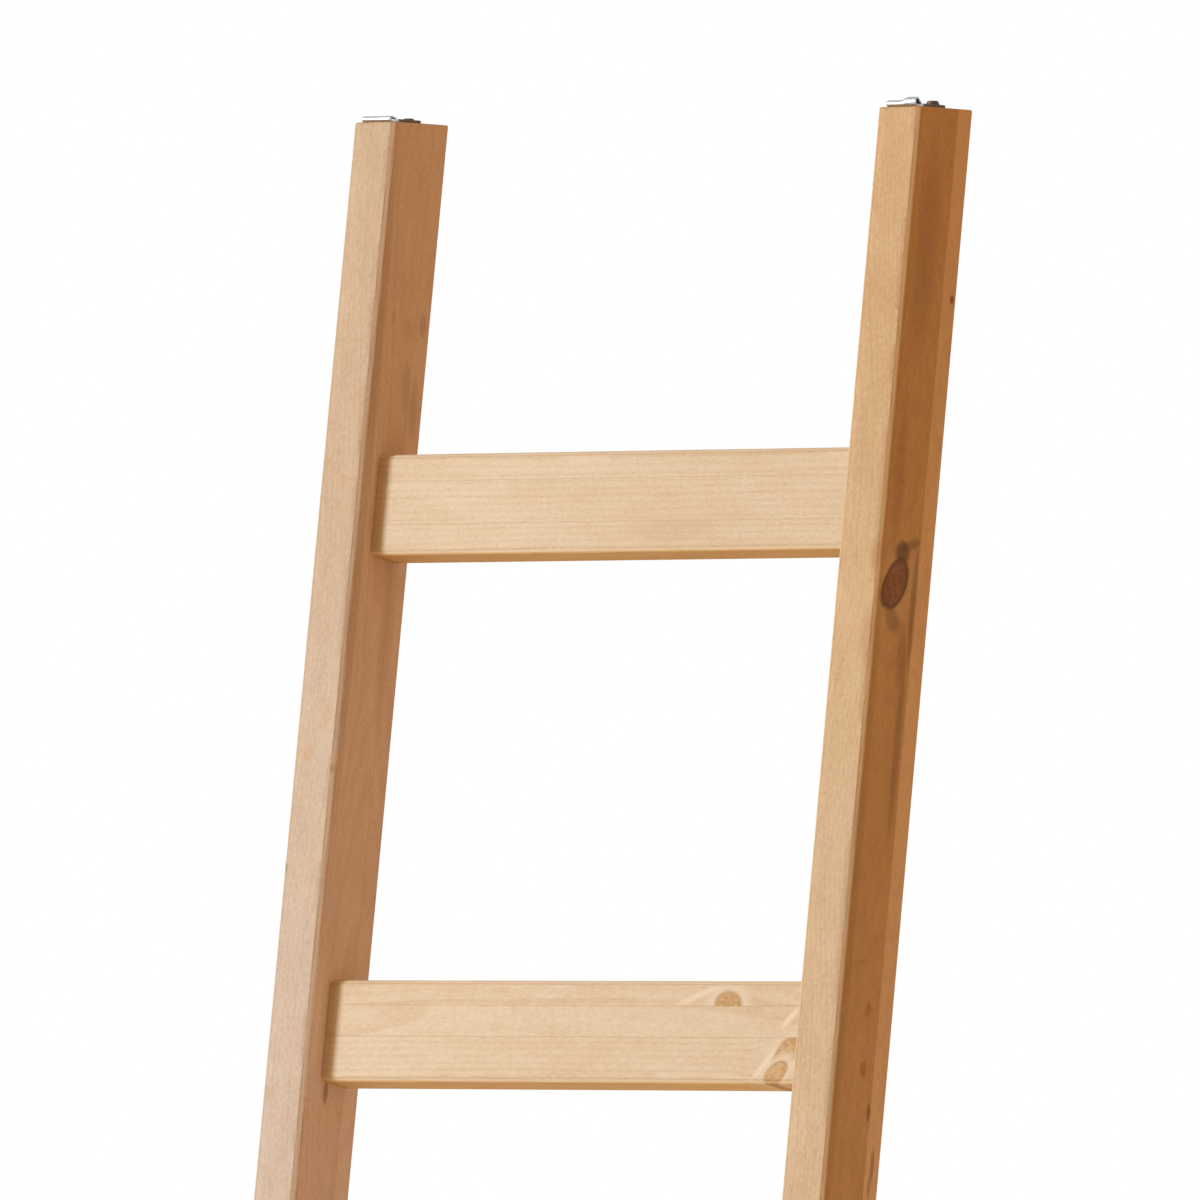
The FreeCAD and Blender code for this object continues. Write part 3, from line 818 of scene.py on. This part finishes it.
def plate_piece(side):
    node = side + "_hanger_plate"
    low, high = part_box(node)
    width, length = (high.x - low.x) / MM, (high.y - low.y) / MM
    path = plate_path(length)
    points = []
    for index, (y, z, share) in enumerate(path):
        before, after = path[max(0, index - 1)], path[min(len(path) - 1, index + 1)]
        ty, tz = after[0] - before[0], after[1] - before[1]
        size = math.hypot(ty, tz)
        short = max(0, PLATE_CORNER - (length - y)) if share == 0 else 0
        ring = strip_ring(width / 2 - PLATE_CORNER + math.sqrt(PLATE_CORNER ** 2 - short ** 2))
        near_fold = smoothstep(LEAF_LENGTH, LEAF_LENGTH - LIP_LENGTH, y)
        rise = FLANGE_RISE * smoothstep(LEAF_LENGTH, LEAF_LENGTH + 3, y)
        for x, through in ring:
            lift = loop_lift(side, x, share, near_fold)
            flange = rise if share == 0 and through < 0 else 0
            across, up = y + tz / size * through, z - ty / size * through + lift + flange
            points.append((x, across, up))
    place = Matrix.Translation(Vector(((low.x + high.x) / 2, low.y, low.z)))
    outward = [face[::-1] for face in loft_faces(len(path), len(ring))]
    return add_piece(node + "_metal", points, outward, place, STEEL_SMOOTH)


# Each part of a screw gives (radius, height) from its t and an angle.

def shank(t, angle):
    z = -SCREW_LENGTH * (1 - t)
    if z >= -NECK_LENGTH:
        return NECK_RADIUS, z
    taper = min(1, (z + SCREW_LENGTH) / POINT_LENGTH)
    turn = (z / THREAD_PITCH - angle / (2 * math.pi)) % 1.0
    thread = max(0.0, 1 - abs(turn - 0.5) * 3.2)
    return max(0.02, (CORE_RADIUS + THREAD_DEPTH * thread) * taper), z


def under_head(t, angle):
    return NECK_RADIUS + (HEAD_RADIUS + HEAD_FLANGE - NECK_RADIUS) * t, 0.0


def head_flange(t, angle):
    return HEAD_RADIUS + HEAD_FLANGE - FLANGE_SLOPE * t, FLANGE_EDGE + FLANGE_SLOPE * t


def head_dome(t, angle):
    """Dome with a cross recess, whose slots get narrower from the middle outwards."""
    radius = HEAD_RADIUS * t
    dome = HEAD_HEIGHT * (1 - DOME_SHARE + DOME_SHARE * math.sqrt(max(0, 1 - t ** 3)))
    across, deep = abs(radius * math.cos(angle)), abs(radius * math.sin(angle))
    into_side = RECESS_HALF + RECESS_FLARE * (1 - radius / 2.4) - min(across, deep)
    into_end = RECESS_REACH - max(across, deep)
    if into_side > 0 and into_end > 0:
        dome -= RECESS_DEPTH * smoothstep(0.0, 0.3, into_side) * smoothstep(0.0, 0.5, into_end)
    return max(radius, 0.01), dome


def screws_piece(side):
    plate_low, plate_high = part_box(side + "_hanger_plate")
    rows = [(shank, t / SHANK_ROWS) for t in range(SHANK_ROWS + 1)]
    rows += [(under_head, t / 3) for t in (1, 2, 3)]
    rows += [(head_flange, t) for t in (0.0, 0.5, 1.0)]
    rows += [(head_dome, t / DOME_ROWS) for t in range(DOME_ROWS, -1, -1)]
    points, faces = [], []
    for index, offset in enumerate((-SCREW_SPACING / 2, SCREW_SPACING / 2)):
        start = len(points)
        turn, proud = SCREWS_TURN[side][index], SCREWS_PROUD[side][index]
        for shape, t in rows:
            for spoke in range(SPOKES):
                angle = 2 * math.pi * spoke / SPOKES
                radius, z = shape(t, angle)
                px, py = radius * math.cos(angle), radius * math.sin(angle)
                lift = 0.0 if shape is under_head else proud        # that stays on the plate
                points.append((px * math.cos(turn) - py * math.sin(turn) + offset,
                               px * math.sin(turn) + py * math.cos(turn), z + lift))
        faces += loft_faces(len(rows), SPOKES, start)
    seat = RAIL_TOP * MM + SHEET * MM
    rear = plate_high.y - SCREW_EDGE * MM
    place = Matrix.Translation(Vector(((plate_low.x + plate_high.x) / 2, rear, seat)))
    return add_piece(side + "_hanger_screws_metal", points, faces, place, STEEL_SMOOTH)


# ---- the rack ----------------------------------------------------------------------------

KNOT_STRETCH = (down(360), down(280))            # of the right rail, round its big knot
KNOT_DENT = (16, -33, down(327), 0.5, 8.0)


def add_rail(side, seed, material):
    node = side + "_rail"
    low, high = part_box(node)
    foot = -(high.z - low.z) / MM / math.cos(LEAN)
    fine, dents = ([KNOT_STRETCH], [KNOT_DENT]) if side == "right" else ([], [])
    rows = length_rows(foot, 0, RAIL_STEP, RAIL_END_EDGE, fine)
    rings = board_rings(seed, RAIL_SECTION, rows, dents)
    shear = math.tan(LEAN)                       # its ends are cut level
    piece = add_board(node, rings, lambda x, y, along: (x, y, along + shear * y), rail_place(side))
    hand_over(piece, "rail_pine", material, node)


def add_rung(number, seed, material):
    node = "rung_%d" % number
    low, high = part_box(node)
    half_length = (high.x - low.x) / 2 / MM
    rows = length_rows(-half_length, half_length, RUNG_STEP, RUNG_END_EDGE)
    rows = [(place, inset, 1) for place, inset, _ in rows]          # uneven up to its ends
    rings = board_rings(seed, RUNG_SECTION, rows)
    piece = add_board(node, rings, lambda y, z, along: (along, y, z), rung_place(number))
    hand_over(piece, "rung_pine", material, node)


# The plate's screwed rear leaf is painted dark brown: painted shade and a painted reflection of
# the wood.
zinc = steel("zinc_plate", (0.80, 0.81, 0.82), (0.58, 0.59, 0.60), 0.22, 0.35,
             painted_shade_from=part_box("left_hanger_plate")[0].y / MM + LEAF_LENGTH)
# The screws' steel is painted dark brown: painted shade and a painted reflection of the wood. The
# foot nails share it.
screw_steel = steel("screw_steel", (0.21, 0.125, 0.070), (0.10, 0.057, 0.033), 0.38, 1.2)

add_rail("left", -2.5, left_rail_pine())
add_rail("right", 2.5, right_rail_pine())
add_rung(1, 11, rung_1_pine())
add_rung(2, 12, rung_2_pine())
add_rung(3, 13, rung_3_pine())
add_rung(4, 14, rung_4_pine())
for side in ("left", "right"):
    hand_over(plate_piece(side), "zinc_steel", zinc, side + "_hanger_plate")
    hand_over(screws_piece(side), "screw_steel", screw_steel, side + "_hanger_screws")

# CAD pieces that keep their shape.
kept = {"dowels": beech(), "foot_pad": rubber(), "foot_nails": screw_steel}
for name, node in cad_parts.items():
    for ending, material in kept.items():
        if name.endswith(ending):
            node.data.materials.clear()
            node.data.materials.append(material)

# ---- stage, light and camera ------------------------------------------------------------------

FLOOR_RADIUS = 12000
CAMERA_TURN, CAMERA_RISE = math.radians(31.888), math.radians(1.065)
CAMERA_LENS, SENSOR = 505.071, 36.0
# The view is measured from an anchor, midway between the rails in the plane of their front
# faces: so far below their tops, in front of the camera, and off the view's middle.
ANCHOR_DROP, ANCHOR_AHEAD = 318.563, 11374.365
ANCHOR_ASIDE, ANCHOR_ABOVE = -6.0498, 12.0584


def add_floor():
    angles = [math.radians(a) for a in range(0, 360, 5)]
    points = [(FLOOR_RADIUS * math.cos(a), FLOOR_RADIUS * math.sin(a), 0) for a in angles]
    floor = add_piece("floor", points, [tuple(range(len(points)))], Matrix.Identity(4))
    floor.data.materials.append(floor_paint())


def add_light(name, place, size, power, colour, target=(0, 0, 1.1)):
    """Square area light. Its place, target and size are in metres."""
    lamp = bpy.data.lights.new(name, "AREA")
    lamp.shape, lamp.size, lamp.size_y = "RECTANGLE", size, size
    lamp.energy, lamp.color = power, colour
    light = bpy.data.objects.new(name, lamp)
    bpy.context.scene.collection.objects.link(light)
    light.location = place
    light.rotation_euler = (Vector(target) - Vector(place)).to_track_quat("-Z", "Y").to_euler()


def add_world(seen, ambient, mirrored):
    """White where the camera sees it, dimmer and warmer where it lights the wood, and a
    plain grey in the steel."""
    world = bpy.data.worlds.new("studio")
    world.use_nodes = True
    tree = world.node_tree
    tree.nodes.clear()
    rays = tree.nodes.new("ShaderNodeLightPath")
    below = None
    for kind, colour in ((None, ambient), ("Is Glossy Ray", mirrored), ("Is Camera Ray", seen)):
        sky = tree.nodes.new("ShaderNodeBackground")
        sky.inputs[0].default_value = (*colour, 1)
        result = sky
        if kind:
            result = tree.nodes.new("ShaderNodeMixShader")
            tree.links.new(rays.outputs[kind], result.inputs[0])
            tree.links.new(below.outputs[0], result.inputs[1])
            tree.links.new(sky.outputs[0], result.inputs[2])
        below = result
    tree.links.new(below.outputs[0], tree.nodes.new("ShaderNodeOutputWorld").inputs[0])
    bpy.context.scene.world = world


def add_camera():
    """Long lens, level with the upper rungs, tipped very slightly up."""
    sin_turn, cos_turn = math.sin(CAMERA_TURN), math.cos(CAMERA_TURN)
    sin_rise, cos_rise = math.sin(CAMERA_RISE), math.cos(CAMERA_RISE)
    right = Vector((cos_turn, sin_turn, 0))
    ahead = Vector((-sin_turn * cos_rise, cos_turn * cos_rise, sin_rise))
    up = right.cross(ahead)
    front = middle("rung_1") - DEEP * (RUNG_THICKNESS / 2 + RUNG_SETBACK) * MM
    anchor = front + ALONG * (((RAIL_TOP - ANCHOR_DROP) * MM - front.z) / ALONG.z)
    anchor.x = 0
    place = anchor - (right * ANCHOR_ASIDE + up * ANCHOR_ABOVE + ahead * ANCHOR_AHEAD) * MM
    data = bpy.data.cameras.new("camera")
    data.sensor_width, data.lens = SENSOR, CAMERA_LENS
    data.clip_start, data.clip_end = 0.5, 60
    camera = bpy.data.objects.new("camera", data)
    turn_matrix = Matrix((right, up, -ahead)).transposed().to_4x4()
    camera.matrix_world = Matrix.Translation(place) @ turn_matrix
    bpy.context.scene.collection.objects.link(camera)
    bpy.context.scene.camera = camera


add_floor()
add_light("key", (-1.90, -2.80, 2.26), size=0.72, power=89, colour=(0.92, 1.02, 1.17))
add_light("back_fill", (-2.4, 2.6, 2.0), size=1.5, power=40, colour=(1.0, 0.98, 0.95))
add_world(seen=(1, 1, 1), ambient=(0.51, 0.295, 0.145), mirrored=(0.6, 0.6, 0.6))
add_camera()
bpy.context.scene.view_settings.view_transform = "Standard"
